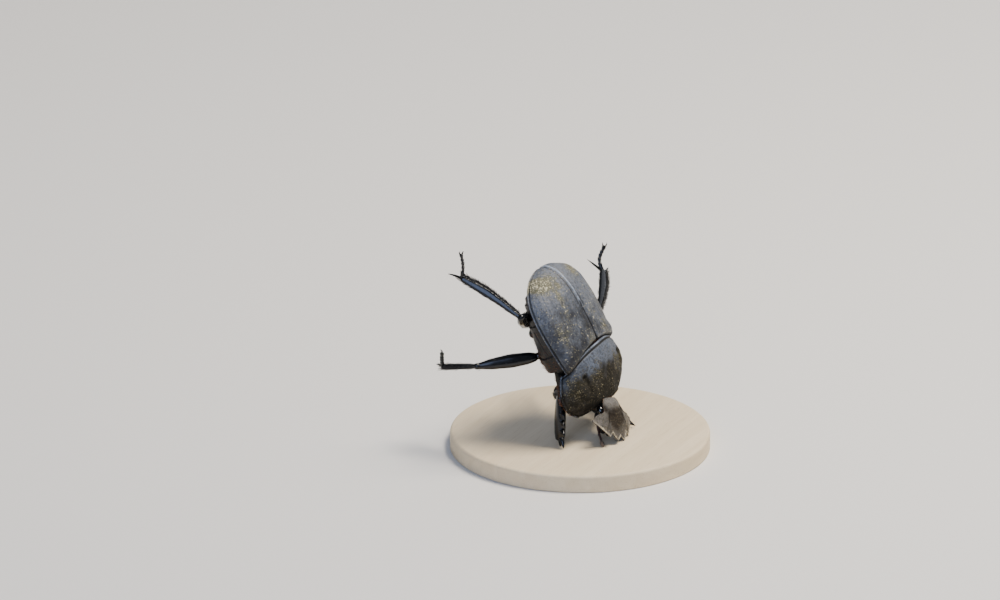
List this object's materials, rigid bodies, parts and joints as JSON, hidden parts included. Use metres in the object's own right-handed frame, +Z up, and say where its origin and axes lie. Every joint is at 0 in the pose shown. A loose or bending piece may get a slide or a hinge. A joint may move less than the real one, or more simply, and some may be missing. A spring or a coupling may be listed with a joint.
{
  "type": "dung beetle",
  "caption": "Still life-size dung beetle, head down with raised hind legs as when rolling a ball backwards, held over a flat round display base.",
  "frame": {"origin": "centre of the underside of the round display base", "axes": "+Z up; the beetle's head points to -Y and its left side to +X"},
  "size_m": [0.0467, 0.0453, 0.0366],
  "materials": {
    "wing_case": "dusty blue-grey shell",
    "pronotum": "dusty grey-black shell",
    "head_shield": "scoured grey shell",
    "eye": "polished black",
    "underside": "satin black shell",
    "limb": "glossy black shell",
    "stand_wood": "fine sanded pale limewood"
  },
  "bodies": {
    "root": {"stand_base": "stand_wood", "elytron_left": "wing_case", "elytron_right": "wing_case", "prothorax": "pronotum", "head": "head_shield", "eye_left": "eye", "eye_right": "eye", "antenna_left": "limb", "antenna_right": "limb", "mouthparts": "limb", "waist": "underside", "thorax": "underside", "abdomen": "underside", "pygidium": "underside", "fore_coxa_left": "limb", "fore_coxa_right": "limb", "fore_femur_left": "limb", "fore_femur_right": "limb", "fore_tibia_left": "limb", "fore_tibia_right": "limb", "mid_coxa_left": "limb", "mid_coxa_right": "limb", "mid_femur_left": "limb", "mid_femur_right": "limb", "mid_tibia_left": "limb", "mid_tibia_right": "limb", "mid_tarsus_left": "limb", "mid_tarsus_right": "limb", "hind_coxa_left": "limb", "hind_coxa_right": "limb", "hind_femur_left": "limb", "hind_femur_right": "limb", "hind_tibia_left": "limb", "hind_tibia_right": "limb", "hind_tarsus_left": "limb", "hind_tarsus_right": "limb"}
  },
  "joints": []
}
